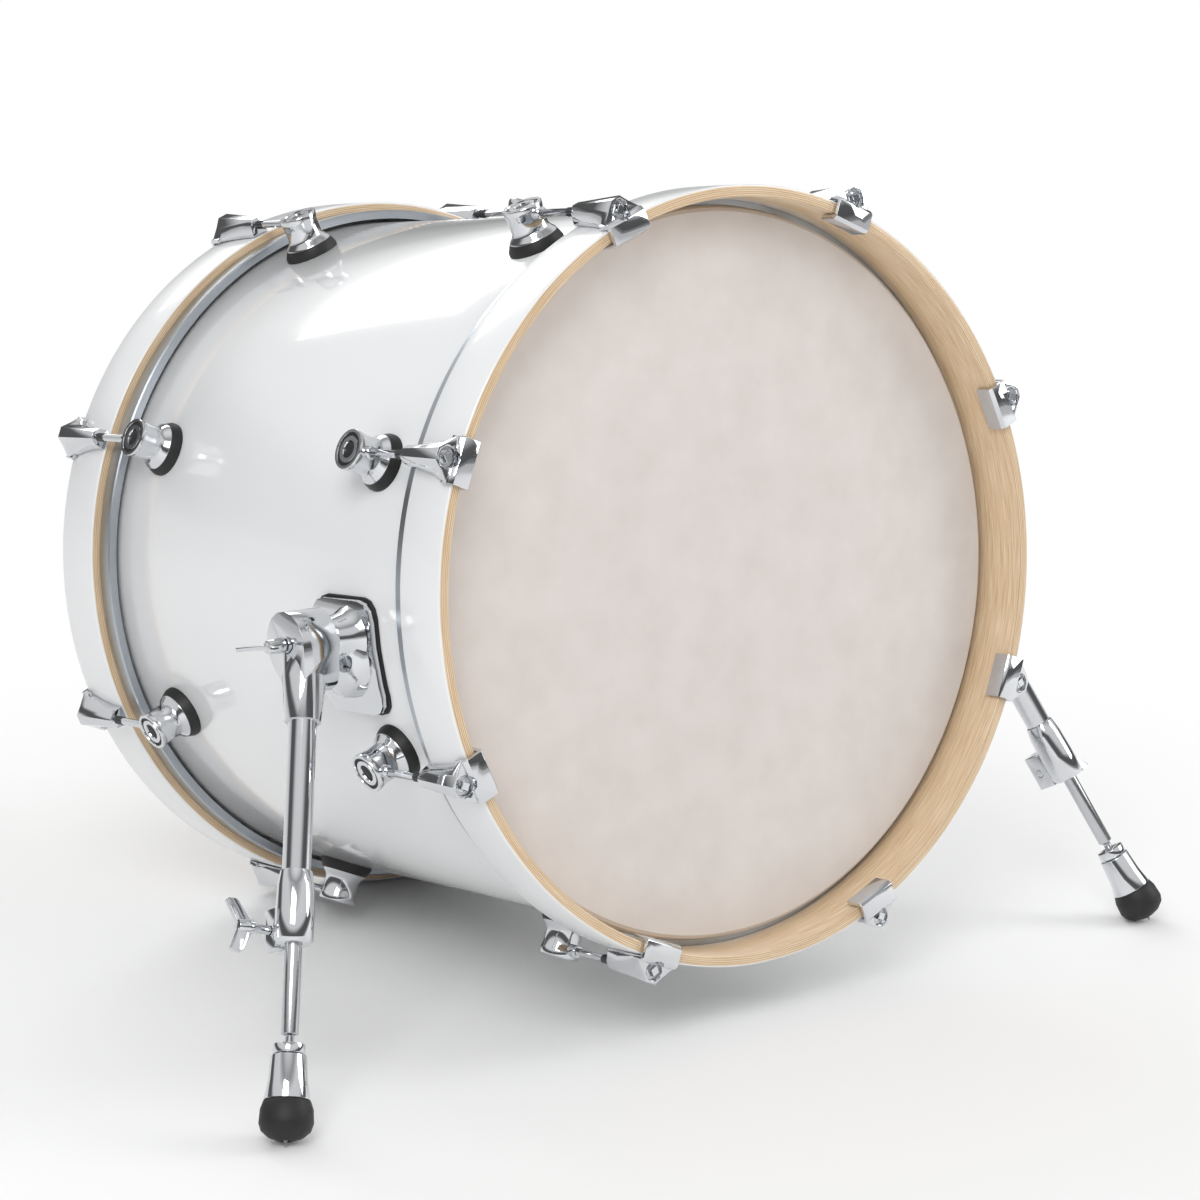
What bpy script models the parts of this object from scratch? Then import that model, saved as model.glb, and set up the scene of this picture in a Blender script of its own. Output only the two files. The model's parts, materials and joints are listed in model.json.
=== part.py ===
"""Electronic bass drum: a white wood shell with wood hoops, a mesh batter head over a trigger pad,
a coated front head, tube lugs, claw hooks with tension rods, and two folding spur legs.

Metres, +Z up. The drum lies along Y with its front head towards -Y, tipped up a little at the
front, and stands on the rear hoop and the two rubber feet. Left is -X, as seen from the front.
"""

import math

import bmesh
import bpy
from mathutils import Matrix, Vector

# Shell
shell_diameter = 0.508
shell_wall = 0.0075
shell_depth = 0.412
bearing_edge_land = 0.002
bearing_edge_drop = 0.005
bearing_edge_round = 0.0012

# Heads: a film bonded into an aluminium flesh hoop
film_thickness = 0.0005
head_collar = 0.0085
flesh_hoop_height = 0.014
flesh_hoop_section = 0.0066
flesh_hoop_clearance = 0.003

# Wood hoops
hoop_thickness = 0.0085
hoop_width = 0.0435
hoop_overlap = 0.0021
hoop_edge_bevel = 0.0015

# Lugs
lugs_per_head = 8
lug_inset = 0.0675
lug_height = 0.0305
lug_post_radius = 0.0132
lug_rim_radius = 0.0142
lug_base_radius = 0.0172
gasket_radius = 0.020
gasket_height = 0.0078
lug_dish_depth = 0.0015
lug_dish_wall = 0.0027
nut_radius = 0.0045
nut_length = 0.0068

# Claws and tension rods
rod_standoff = 0.008
rod_radius = 0.0028
rod_head_radius = 0.0046
rod_head_height = 0.0062
claw_width = 0.032
claw_plate = 0.0032
claw_liner = 0.0015
claw_lip_length = 0.0105
claw_tail_length = 0.044
claw_tail_width = 0.014
claw_barrel_radius = 0.0096
claw_tail_radius = 0.0062
claw_recess_radius = 0.0072
claw_recess_depth = 0.009

# Stance and legs
front_tilt = math.radians(5.5)
leg_splay = math.radians(20)
leg_rake = math.radians(20)
pivot_inset = 0.082
pivot_drop = 0.017
pivot_reach = 0.295

# Leg brackets
bracket_length = 0.068
bracket_height = 0.079
bracket_corner = 0.014
bracket_plate = 0.0045
bracket_drop_angle = math.radians(7.2)
bracket_gasket = 0.002
bracket_gasket_rim = 0.0012
bracket_dome_radius = 0.029
bracket_dome_height = 0.017
arm_radius = 0.0148
arm_joint_setback = 0.0175

# Leg swivel head, sleeve and outer tube
swivel_radius = 0.0222
swivel_toe_radius = 0.0145
swivel_toe_reach = 0.020
swivel_inner_face = 0.011
swivel_outer_face = 0.0165
sleeve_top_radius = 0.0146
sleeve_end_radius = 0.0122
sleeve_length = 0.056
tube_radius = 0.0095
tube_end = 0.190
tube_bore_top = 0.045

# Clamp on the outer tube
clamp_top = 0.157
clamp_bottom = 0.205
clamp_top_radius = 0.0106
clamp_radius = 0.0128
ear_reach = 0.026
ear_half_width = 0.0075
ear_height = 0.026
ear_slot = 0.002
ear_screw_offset = 0.0185

# Inner rod, spike and foot
leg_rod_radius = 0.0055
rod_insertion = 0.090
neck_length = 0.0055
spike_radius = 0.003
spike_point_length = 0.009
lock_nut_radius = 0.0105
lock_nut_height = 0.0062
lock_nut_seat = 0.001
cup_top_radius = 0.0115
cup_step_radius = 0.0128
cup_bottom_radius = 0.0152
cup_step_drop = 0.0165
cup_height = 0.0285
foot_radius = 0.0176
foot_shoulder = 0.014
foot_dome = 0.0115

# Wing screws
wing_screw_stem = 0.003
wing_bolt_stem = 0.004
wing_hub_radius = 0.0055
wing_hub_seat = 0.002
wing_thickness = 0.003

# Trigger inside the drum
crossbar_width = 0.030
crossbar_depth = 0.012
crossbar_wall = 0.003
crossbar_foot_width = 0.046
sensor_plate_radius = 0.052
sensor_plate_thickness = 0.003
foam_base_radius = 0.046
foam_tip_radius = 0.030
jack_radius = 0.0056
jack_bore = 0.0033
jack_nut_radius = 0.0085
jack_nut_height = 0.003
jack_body_length = 0.017
jack_setback = 0.040
lead_radius = 0.0022

# Clearances and how finely round things are drawn
gap = 0.0003
drum_steps = 64
lug_steps = 12
small_steps = 12
merge_distance = 1e-6

# Places worked out from the sizes above, in the drum's own frame with its centre at the origin
shell_radius = shell_diameter / 2
half_depth = shell_depth / 2
flesh_hoop_inner = shell_radius + flesh_hoop_clearance
flesh_hoop_outer = flesh_hoop_inner + flesh_hoop_section
flesh_hoop_top = half_depth - head_collar
hoop_inner = flesh_hoop_outer - hoop_overlap
hoop_radius = hoop_inner + hoop_thickness
hoop_seat = flesh_hoop_top + gap
hoop_face = hoop_seat + hoop_width
lug_place = half_depth - lug_inset
rod_circle = hoop_radius + rod_standoff
lug_spacing = 2 * math.pi / lugs_per_head
facet_drop = 1 - math.cos(math.pi / drum_steps)

tilt_up = Vector((0, -math.sin(front_tilt), math.cos(front_tilt)))
floor_level = -(hoop_radius * math.cos(front_tilt) + (hoop_face - hoop_edge_bevel) * math.sin(front_tilt))


def clear_scene():
    for old in list(bpy.data.objects):
        bpy.data.objects.remove(old, do_unlink=True)


def principled(name, color, roughness, metallic=0.0, coat=0.0):
    material = bpy.data.materials.new(name)
    material.use_nodes = True
    shader = material.node_tree.nodes["Principled BSDF"]
    shader.inputs["Base Color"].default_value = (*color, 1.0)
    shader.inputs["Roughness"].default_value = roughness
    shader.inputs["Metallic"].default_value = metallic
    shader.inputs["Coat Weight"].default_value = coat
    material.diffuse_color = (*color, 1.0)
    return material


def mesh_from(work, name="shape"):
    """The finished mesh of a bmesh, closed and facing out."""
    bmesh.ops.remove_doubles(work, verts=work.verts, dist=merge_distance)
    bmesh.ops.recalc_face_normals(work, faces=work.faces)
    mesh = bpy.data.meshes.new(name)
    work.to_mesh(mesh)
    work.free()
    return mesh


def turned(profile, steps=small_steps, ring=False):
    """Spins (radius, height) points round Z. A ring's profile is closed; any other starts and ends on the axis."""
    work = bmesh.new()
    points = [work.verts.new((radius, 0, height)) for radius, height in profile]
    edges = [work.edges.new(pair) for pair in zip(points, points[1:])]
    if ring:
        edges.append(work.edges.new((points[-1], points[0])))
    bmesh.ops.spin(work, geom=points + edges, cent=(0, 0, 0), axis=(0, 0, 1), angle=2 * math.pi, steps=steps)
    return mesh_from(work)


def rod_shape(radius, low, high, steps=small_steps):
    return turned([(0, low), (radius, low), (radius, high), (0, high)], steps)


def extruded(outline, low, high):
    """A flat outline in XY carried from one height to another."""
    work = bmesh.new()
    face = work.faces.new([work.verts.new((x, y, low)) for x, y in outline])
    sides = bmesh.ops.extrude_face_region(work, geom=[face])
    top = [item for item in sides["geom"] if isinstance(item, bmesh.types.BMVert)]
    bmesh.ops.translate(work, verts=top, vec=(0, 0, high - low))
    return mesh_from(work)


def lofted(sections):
    """Joins closed sections of 3-D points, one after the other, and caps both ends."""
    work = bmesh.new()
    rings = [[work.verts.new(point) for point in section] for section in sections]
    for near, far in zip(rings, rings[1:]):
        for i in range(len(near)):
            j = (i + 1) % len(near)
            work.faces.new((near[i], near[j], far[j], far[i]))
    work.faces.new(rings[0][::-1])
    work.faces.new(rings[-1])
    return mesh_from(work)


def box(low, high):
    outline = [(low[0], low[1]), (high[0], low[1]), (high[0], high[1]), (low[0], high[1])]
    return extruded(outline, low[2], high[2])


def arc(centre, radius, start, end, steps):
    """Points on an arc, with both angles in degrees."""
    angles = [math.radians(start + (end - start) * i / steps) for i in range(steps + 1)]
    return [(centre[0] + radius * math.cos(a), centre[1] + radius * math.sin(a)) for a in angles]


def moved(mesh, matrix):
    mesh.transform(matrix)
    return mesh


def boolean(base_mesh, tool_mesh, operation):
    """The union, difference or intersection of two closed meshes, as one new mesh."""
    base = bpy.data.objects.new("base", base_mesh)
    tool = bpy.data.objects.new("tool", tool_mesh)
    for helper in (base, tool):
        bpy.context.scene.collection.objects.link(helper)
    modifier = base.modifiers.new("join", "BOOLEAN")
    modifier.operation = operation
    modifier.object = tool
    bpy.context.view_layer.update()
    graph = bpy.context.evaluated_depsgraph_get()
    result = bpy.data.meshes.new_from_object(base.evaluated_get(graph))
    for helper in (base, tool):
        bpy.data.objects.remove(helper, do_unlink=True)
    return result


def union(*meshes):
    result = meshes[0]
    for mesh in meshes[1:]:
        result = boolean(result, mesh, "UNION")
    return result


def cut(mesh, *tools):
    for tool in tools:
        mesh = boolean(mesh, tool, "DIFFERENCE")
    return mesh


def place(name, mesh, material, parent, matrix=None):
    """Makes one finished piece: its own object, its material, its place under its parent."""
    mesh.materials.clear()
    mesh.materials.append(material)
    mesh.shade_smooth()
    mesh.set_sharp_from_angle(angle=math.radians(35))
    piece = bpy.data.objects.new(name, mesh)
    bpy.context.scene.collection.objects.link(piece)
    piece.parent = parent
    piece.matrix_basis = matrix or Matrix()
    return piece


def empty(name, parent=None, matrix=None):
    holder = bpy.data.objects.new(name, None)
    bpy.context.scene.collection.objects.link(holder)
    holder.parent = parent
    holder.matrix_basis = matrix or Matrix()
    return holder


# Turns a shape made round Z so that it lies along the drum's axis, its height becoming +Y
along_drum = Matrix(((1, 0, 0, 0), (0, 0, 1, 0), (0, -1, 0, 0), (0, 0, 0, 1)))
turn_to_rear = Matrix.Rotation(math.pi, 4, "Z")


def shell_cylinder(radius, steps=drum_steps):
    """A solid cylinder along the drum's axis, longer than the shell, for cutting saddles."""
    return moved(rod_shape(radius, -half_depth, half_depth, steps), along_drum)


def make_shell(drum, material):
    inner = shell_radius - shell_wall
    land = shell_radius - bearing_edge_round
    profile = []
    for end in (-1, 1):
        edge = [
            (inner, end * (half_depth - bearing_edge_drop)),
            (land - bearing_edge_land, end * half_depth),
            (land, end * half_depth),
            (shell_radius, end * (half_depth - bearing_edge_round)),
        ]
        profile += edge if end < 0 else edge[::-1]
    body = moved(turned(profile, drum_steps, ring=True), along_drum)
    jack_hole = rod_shape(jack_radius + gap, -2 * shell_wall, shell_wall)
    body = cut(body, moved(jack_hole, jack_matrix()))
    return place("shell", body, material, drum)


def make_hoop(name, drum, material, end):
    """A wood hoop whose seat faces the drum. end is -1 at the front and 1 at the rear."""
    bevel = hoop_edge_bevel
    profile = [
        (hoop_inner, end * hoop_seat),
        (hoop_inner, end * hoop_face),
        (hoop_radius - bevel, end * hoop_face),
        (hoop_radius, end * (hoop_face - bevel)),
        (hoop_radius, end * (hoop_seat + bevel)),
        (hoop_radius - bevel, end * hoop_seat),
    ]
    return place(name, moved(turned(profile, drum_steps, ring=True), along_drum), material, drum)


def make_head(name, drum, material, end):
    """The film over the bearing edge, its collar, and the flesh hoop that it is bonded into."""
    under = half_depth + gap
    over = under + film_thickness
    turn_down = shell_radius + gap
    profile = [
        (0, end * over),
        (shell_radius - bearing_edge_round, end * over),
        (turn_down + film_thickness + gap, end * (under - bearing_edge_round)),
        (flesh_hoop_inner + film_thickness, end * flesh_hoop_top),
        (flesh_hoop_outer, end * flesh_hoop_top),
        (flesh_hoop_outer, end * (flesh_hoop_top - flesh_hoop_height)),
        (flesh_hoop_inner, end * (flesh_hoop_top - flesh_hoop_height)),
        (flesh_hoop_inner, end * (flesh_hoop_top - film_thickness)),
        (turn_down + gap, end * (under - bearing_edge_round)),
        (shell_radius - bearing_edge_round, end * under),
        (0, end * under),
    ]
    return place(name, moved(turned(profile, drum_steps), along_drum), material, drum)


def lug_mesh():
    """One lug on its rubber gasket, standing on local Z with the shell's surface at zero."""
    base = gasket_height + 0.0035
    floor = lug_height - lug_dish_depth
    profile = [
        (0, -gasket_height),
        (gasket_radius, -gasket_height),
        (gasket_radius, gasket_height * 0.2),
        (lug_base_radius, gasket_height),
        (lug_post_radius, base),
        (lug_post_radius, lug_height * 0.75),
        (lug_rim_radius, lug_height),
        (lug_rim_radius - lug_dish_wall, lug_height),
        (lug_rim_radius - lug_dish_wall, floor),
        (0, floor),
    ]
    body = turned(profile, lug_steps)
    saddle = moved(shell_cylinder(shell_radius + gap), Matrix.Translation((0, 0, -shell_radius)))
    nut_height = rod_circle - shell_radius
    nut_end = -(lug_post_radius + nut_length)
    nut = rod_shape(nut_radius, nut_end, 0, 8)
    nut = moved(moved(nut, along_drum), Matrix.Translation((0, 0, nut_height)))
    return union(cut(body, saddle), nut)


def claw_section(y, half_width, radius, standoff):
    """The claw's outline across the hoop: flat sides, then a round back over the tension rod."""
    foot = claw_liner * 0.4
    shoulder = foot + claw_plate
    back = [(x, y, z) for x, z in arc((0, standoff), radius, 15, 165, 3)]
    sides = [(half_width, y, foot), (half_width, y, shoulder)]
    return sides + back + [(-half_width, y, shoulder), (-half_width, y, foot)]


def claw_mesh():
    """One claw with its tension rod: local Z outwards from the hoop's skin, local Y into the drum."""
    half = claw_width / 2
    tail = claw_tail_width / 2
    sections = []
    for share in (0, 0.16, 0.42, 0.72, 1.0):
        bend = (1 - share) ** 2
        width = tail + (half - tail) * bend
        radius = claw_tail_radius + (claw_barrel_radius - claw_tail_radius) * (1 - share)
        sections.append(claw_section(share * claw_tail_length, width, radius, rod_standoff))
    body = lofted(sections)
    front = -(claw_liner + claw_plate)
    inner = -(hoop_thickness + claw_liner)
    bevel = claw_plate * 0.75
    foot = claw_liner * 0.4
    hook = [
        (claw_plate * 2, foot + claw_plate),
        (front + bevel, foot + claw_plate),
        (front, foot + claw_plate - bevel),
        (front, inner - claw_plate + bevel),
        (front + bevel, inner - claw_plate),
        (claw_lip_length, inner - claw_plate),
        (claw_lip_length, inner),
        (-claw_liner, inner),
        (-claw_liner, foot),
        (claw_plate * 2, foot),
    ]
    across = Matrix(((0, 0, 1, 0), (1, 0, 0, 0), (0, 1, 0, 0), (0, 0, 0, 1)))
    hook = moved(extruded(hook, -half, half), across)
    at_rod = Matrix.Translation((0, 0, rod_standoff))
    recess = moved(rod_shape(claw_recess_radius, front, claw_recess_depth), at_rod @ along_drum)
    head_start = claw_recess_depth - rod_head_height
    rod_end = hoop_face - lug_place - lug_post_radius - nut_length - gap
    profile = [
        (0, head_start),
        (rod_head_radius, head_start),
        (rod_head_radius, claw_recess_depth),
        (rod_radius, claw_recess_depth + claw_plate),
        (rod_radius, rod_end),
        (0, rod_end),
    ]
    rod = moved(turned(profile, 8), at_rod @ along_drum)
    return union(cut(union(body, hook), recess), rod)


def make_tuning_hardware(drum, chrome):
    """A ring of lugs and claws at each end, with none at the top or the bottom of the drum."""
    lug = lug_mesh()
    claw = claw_mesh()
    for side_name, end in (("front", -1), ("rear", 1)):
        turn = Matrix() if end < 0 else turn_to_rear
        for k in range(lugs_per_head):
            around = Matrix.Rotation(lug_spacing * (k + 0.5), 4, "Y")
            lug_at = around @ Matrix.Translation((0, end * lug_place, shell_radius)) @ turn
            claw_at = around @ Matrix.Translation((0, end * hoop_face, hoop_radius)) @ turn
            place(f"{side_name}_lug_{k + 1}", lug.copy(), chrome, drum, lug_at)
            place(f"{side_name}_claw_{k + 1}", claw.copy(), chrome, drum, claw_at)


def rounded_rectangle(length, height, corner):
    """An outline with round corners, centred on the origin."""
    points = []
    for x_sign, y_sign, start in ((1, 1, 0), (-1, 1, 90), (-1, -1, 180), (1, -1, 270)):
        centre = (x_sign * (length / 2 - corner), y_sign * (height / 2 - corner))
        points += arc(centre, corner, start, start + 90, 3)
    return points


def bracket_matrix(side):
    """Stands a bracket's outline on the shell: local Z outwards, local Y along the drum."""
    middle = -half_depth + pivot_inset + 0.009
    outwards = Matrix.Rotation(side * (math.pi / 2 + bracket_drop_angle), 4, "Y")
    return outwards @ Matrix.Translation((0, middle, 0))


def curved_plate(height, length, corner, low, high, side):
    """A plate with a round-cornered outline that follows the shell between two radii."""
    outline = rounded_rectangle(height, length, corner)
    block = moved(extruded(outline, shell_radius * 0.9, shell_radius * 1.2), bracket_matrix(side))
    block = boolean(block, shell_cylinder(high), "INTERSECT")
    return cut(block, shell_cylinder(low))


def across_matrix(side, start):
    """Lays a shape made round Z along the pivot's axis, pointing away from the drum."""
    turn = Matrix.Rotation(side * math.pi / 2, 4, "Y")
    return Matrix.Translation(start) @ turn


def pivot_point(side):
    return Vector((side * pivot_reach, -half_depth + pivot_inset, -pivot_drop))


def make_bracket(side, side_name, drum, chrome, rubber):
    """The cast bracket with its dome and fixed arm, and the rubber gasket under its plate."""
    skin = shell_radius + gap
    gasket_top = skin + bracket_gasket
    rim = 2 * bracket_gasket_rim
    gasket = curved_plate(bracket_height + rim, bracket_length + rim, bracket_corner, skin, gasket_top, side)
    place(f"{side_name}_bracket_gasket", gasket, rubber, drum)
    plate_low = gasket_top + gap
    plate_high = plate_low + bracket_plate
    plate = curved_plate(bracket_height, bracket_length, bracket_corner, plate_low, plate_high, side)
    dome_profile = [(0, plate_low + bracket_plate * 0.5)]
    for radius, height in arc((0, 0), 1, 0, 90, 4):
        dome_profile.append((bracket_dome_radius * radius, plate_high - 0.001 + bracket_dome_height * height))
    dome_profile[1] = (bracket_dome_radius, plate_low + bracket_plate * 0.5)
    dome = moved(turned(dome_profile, 16), bracket_matrix(side))
    pivot = pivot_point(side)
    arm_start = shell_radius + bracket_plate - pivot_reach
    arm_profile = [
        (0, arm_start),
        (arm_radius * 1.45, arm_start),
        (arm_radius * 1.12, arm_start + 0.009),
        (arm_radius, -arm_joint_setback - 0.003),
        (arm_radius - 0.001, -arm_joint_setback),
        (0, -arm_joint_setback),
    ]
    arm = moved(turned(arm_profile, 16), across_matrix(side, pivot))
    place(f"{side_name}_leg_bracket", union(plate, dome, arm), chrome, drum)


def leg_direction(side):
    return Vector((side * math.tan(leg_splay), -math.tan(leg_rake), -1)).normalized()


def leg_matrix(side):
    """The leg's own axes: Z up the leg, X outwards, and Y to complete them. Its origin is the pivot."""
    up = -leg_direction(side)
    out = Vector((side, 0, 0))
    x_axis = (out - out.dot(up) * up).normalized()
    y_axis = up.cross(x_axis)
    return Matrix((x_axis, y_axis, up)).transposed().to_4x4()


def foot_contact_height():
    """How far the centre of the foot's dome is above the floor when the tilted dome rests on it."""
    lean = math.acos(-leg_direction(1).dot(tilt_up))
    return math.hypot(foot_radius * math.sin(lean), foot_dome * math.cos(lean))


def leg_reach():
    """The distance down the leg from the pivot to the centre of the foot's dome, so that the foot stands."""
    height = pivot_point(1).dot(tilt_up) - floor_level
    return (height - foot_contact_height()) / -leg_direction(1).dot(tilt_up)


def wing_shape(stem_radius, stem_low, hub_low, hub_high, span, sweep):
    """A wing screw along Z: its stem, its hub, and two wings that sweep outwards."""
    profile = [
        (0, stem_low),
        (stem_radius, stem_low),
        (stem_radius, hub_low),
        (wing_hub_radius, hub_low),
        (wing_hub_radius * 0.85, hub_high),
        (0, hub_high),
    ]
    middle = (hub_low + hub_high) / 2
    tip_low = middle + sweep
    tip_high = tip_low + (hub_high - hub_low) * 0.85
    outline = [
        (-span, tip_low + 0.002),
        (-span * 0.92, tip_low),
        (-wing_hub_radius * 0.6, hub_low + 0.001),
        (wing_hub_radius * 0.6, hub_low + 0.001),
        (span * 0.92, tip_low),
        (span, tip_low + 0.002),
        (span, tip_high - 0.002),
        (span * 0.92, tip_high),
        (0, hub_high - 0.001),
        (-span * 0.92, tip_high),
        (-span, tip_high - 0.002),
    ]
    upright = Matrix(((1, 0, 0, 0), (0, 0, 1, 0), (0, 1, 0, 0), (0, 0, 0, 1)))
    blade = moved(extruded(outline, -wing_thickness / 2, wing_thickness / 2), upright)
    return union(turned(profile, 10), blade)


def make_leg_tube(side, side_name, holder, chrome):
    """The swivel head, its arm, the tapered sleeve and the outer tube, as one welded piece."""
    toe = swivel_toe_reach
    lean = math.degrees(math.acos((swivel_radius - swivel_toe_radius) / toe))
    outline = arc((0, 0), swivel_radius, -90 + lean, 270 - lean, 10)
    outline += arc((0, -toe), swivel_toe_radius, -90 - lean, -90 + lean, 4)
    head = extruded(outline, -swivel_inner_face, swivel_outer_face)
    flat_down = Vector((0, leg_direction(side).y, leg_direction(side).z)).normalized()
    out = Vector((side, 0, 0))
    head_x = (-flat_down).cross(out)
    head_matrix = Matrix((head_x, -flat_down, out)).transposed().to_4x4()
    head = moved(head, head_matrix)
    arm_low = -arm_joint_setback + gap
    arm = moved(rod_shape(arm_radius, arm_low, 0, 16), across_matrix(side, (0, 0, 0)))
    sleeve_profile = [
        (0, -0.008),
        (sleeve_top_radius, -0.008),
        (sleeve_top_radius, -0.026),
        (sleeve_end_radius, -sleeve_length),
        (tube_radius, -sleeve_length),
        (tube_radius, -tube_end),
        (leg_rod_radius + gap, -tube_end),
        (leg_rod_radius + gap, -tube_bore_top),
        (0, -tube_bore_top),
    ]
    sleeve = moved(turned(sleeve_profile, 16), leg_matrix(side))
    bore = rod_shape(wing_bolt_stem + gap, -0.012, swivel_outer_face * 2)
    body = cut(union(head, arm, sleeve), moved(bore, across_matrix(side, (0, 0, 0))))
    return place(f"{side_name}_leg_tube", body, chrome, holder)


def make_swivel_wing_bolt(side, side_name, holder, chrome):
    hub_low = swivel_outer_face + wing_hub_seat
    bolt = wing_shape(wing_bolt_stem, -0.010, hub_low, hub_low + 0.012, 0.023, 0.007)
    turn = Matrix.Rotation(math.radians(side * 85), 4, "Z")
    bolt = moved(bolt, across_matrix(side, (0, 0, 0)) @ turn)
    return place(f"{side_name}_swivel_wing_bolt", bolt, chrome, holder)


def ear_place(side):
    """The clamp screw's middle in the leg's axes: behind the tube, low on the clamp."""
    return Vector((0, side * ear_screw_offset, -(clamp_bottom - ear_height * 0.45)))


def make_clamp(side, side_name, holder, chrome):
    """The clamp at the tube's end: a tapered body, and a split ear that its wing screw pulls shut."""
    inside = tube_radius + gap
    stop = tube_end + gap
    profile = [
        (inside, -clamp_top),
        (clamp_top_radius, -clamp_top),
        (clamp_radius * 0.95, -(clamp_top + 0.010)),
        (clamp_radius, -(clamp_top + 0.028)),
        (clamp_radius, -(clamp_bottom - 0.003)),
        (clamp_radius - 0.002, -clamp_bottom),
        (leg_rod_radius + gap, -clamp_bottom),
        (leg_rod_radius + gap, -stop),
        (inside, -stop),
    ]
    body = turned(profile, 16, ring=True)
    ear_top = -(clamp_bottom - ear_height)
    near = inside + 0.0012
    low_y, high_y = sorted((side * near, side * ear_reach))
    ear = box((-ear_half_width, low_y, -clamp_bottom - 0.001), (ear_half_width, high_y, ear_top))
    slot_y = sorted((side * (leg_rod_radius - 0.001), side * (ear_reach + 0.001)))
    slot = box((-ear_slot / 2, slot_y[0], -clamp_bottom - 0.002), (ear_slot / 2, slot_y[1], ear_top + 0.001))
    lay = Matrix.Translation(ear_place(side)) @ Matrix.Rotation(math.pi / 2, 4, "Y")
    bore = moved(rod_shape(wing_screw_stem + gap, -0.02, 0.02), lay)
    body = cut(union(body, ear), slot, bore)
    return place(f"{side_name}_memory_clamp", moved(body, leg_matrix(side)), chrome, holder)


def make_clamp_screw(side, side_name, holder, chrome):
    hub_low = ear_half_width + 0.013
    screw = wing_shape(wing_screw_stem, -ear_half_width, hub_low, hub_low + 0.011, 0.019, 0.003)
    lay = Matrix.Translation(ear_place(side)) @ Matrix.Rotation(math.pi / 2, 4, "Y")
    pivot = empty(f"{side_name}_clamp_screw_axis", holder, leg_matrix(side) @ lay)
    turn = Matrix.Rotation(math.radians(-side * 15), 4, "Z")
    return place(f"{side_name}_clamp_wing_screw", moved(screw, turn), chrome, pivot)


def make_leg_rod(side, side_name, holder, steel):
    """The inner rod, its neck, and the threaded spike that the foot travels on."""
    dome_centre = leg_reach()
    tip_drop = (foot_contact_height() - gap * 2) / -leg_direction(side).dot(tilt_up)
    tip = dome_centre + tip_drop
    rod_bottom = foot_top() - gap - cup_height - lock_nut_seat - lock_nut_height - neck_length
    profile = [
        (0, -(clamp_bottom - rod_insertion)),
        (leg_rod_radius, -(clamp_bottom - rod_insertion)),
        (leg_rod_radius, -(rod_bottom - 0.001)),
        (spike_radius, -rod_bottom),
        (spike_radius, -(tip - spike_point_length)),
        (0, -tip),
    ]
    rod = moved(turned(profile, 12), leg_matrix(side))
    return place(f"{side_name}_leg_rod", rod, steel, holder)


def foot_top():
    """Distance down the leg to the top of the rubber, which follows from where its dome has to be."""
    return leg_reach() - foot_shoulder


def make_foot(side, side_name, holder, chrome, rubber):
    """The lock nut and stepped cup, and the rubber foot below them, both bored for the spike."""
    bore = spike_radius + gap
    top = foot_top()
    cup_low = top - gap
    cup_high = cup_low - cup_height
    nut_low = cup_high - lock_nut_seat
    profile = [
        (bore, -(nut_low - lock_nut_height)),
        (lock_nut_radius, -(nut_low - lock_nut_height)),
        (lock_nut_radius, -nut_low),
        (cup_top_radius * 0.6, -nut_low),
        (cup_top_radius, -cup_high),
        (cup_step_radius, -(cup_high + cup_step_drop)),
        (cup_bottom_radius, -cup_low),
        (bore, -cup_low),
    ]
    cup = moved(turned(profile, 18, ring=True), leg_matrix(side))
    place(f"{side_name}_foot_cup", cup, chrome, holder)
    centre = leg_reach()
    profile = [
        (bore, -top),
        (cup_bottom_radius, -top),
        (foot_radius * 0.97, -(top + foot_shoulder * 0.4)),
        (foot_radius, -centre),
    ]
    for degrees in (25, 50, 72):
        angle = math.radians(degrees)
        profile.append((foot_radius * math.cos(angle), -(centre + foot_dome * math.sin(angle))))
    profile.append((bore, -(centre + foot_dome)))
    rubber_foot = moved(turned(profile, 20, ring=True), leg_matrix(side))
    place(f"{side_name}_rubber_foot", rubber_foot, rubber, holder)


def make_leg(side, side_name, drum, chrome, steel, rubber):
    make_bracket(side, side_name, drum, chrome, rubber)
    holder = empty(f"{side_name}_leg_pivot", drum, Matrix.Translation(pivot_point(side)))
    make_leg_tube(side, side_name, holder, chrome)
    make_swivel_wing_bolt(side, side_name, holder, chrome)
    make_clamp(side, side_name, holder, chrome)
    make_clamp_screw(side, side_name, holder, chrome)
    make_leg_rod(side, side_name, holder, steel)
    make_foot(side, side_name, holder, chrome, rubber)


# The crossbar runs between two opposite rear lugs, whose screws also hold its feet
crossbar_turn = Matrix.Rotation(-lug_spacing / 2, 4, "Y")
crossbar_front = lug_place - crossbar_width / 2
crossbar_rear = lug_place + crossbar_width / 2
sensor_front = crossbar_rear + gap
foam_front = sensor_front + sensor_plate_thickness + gap
foam_rear = half_depth


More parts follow.
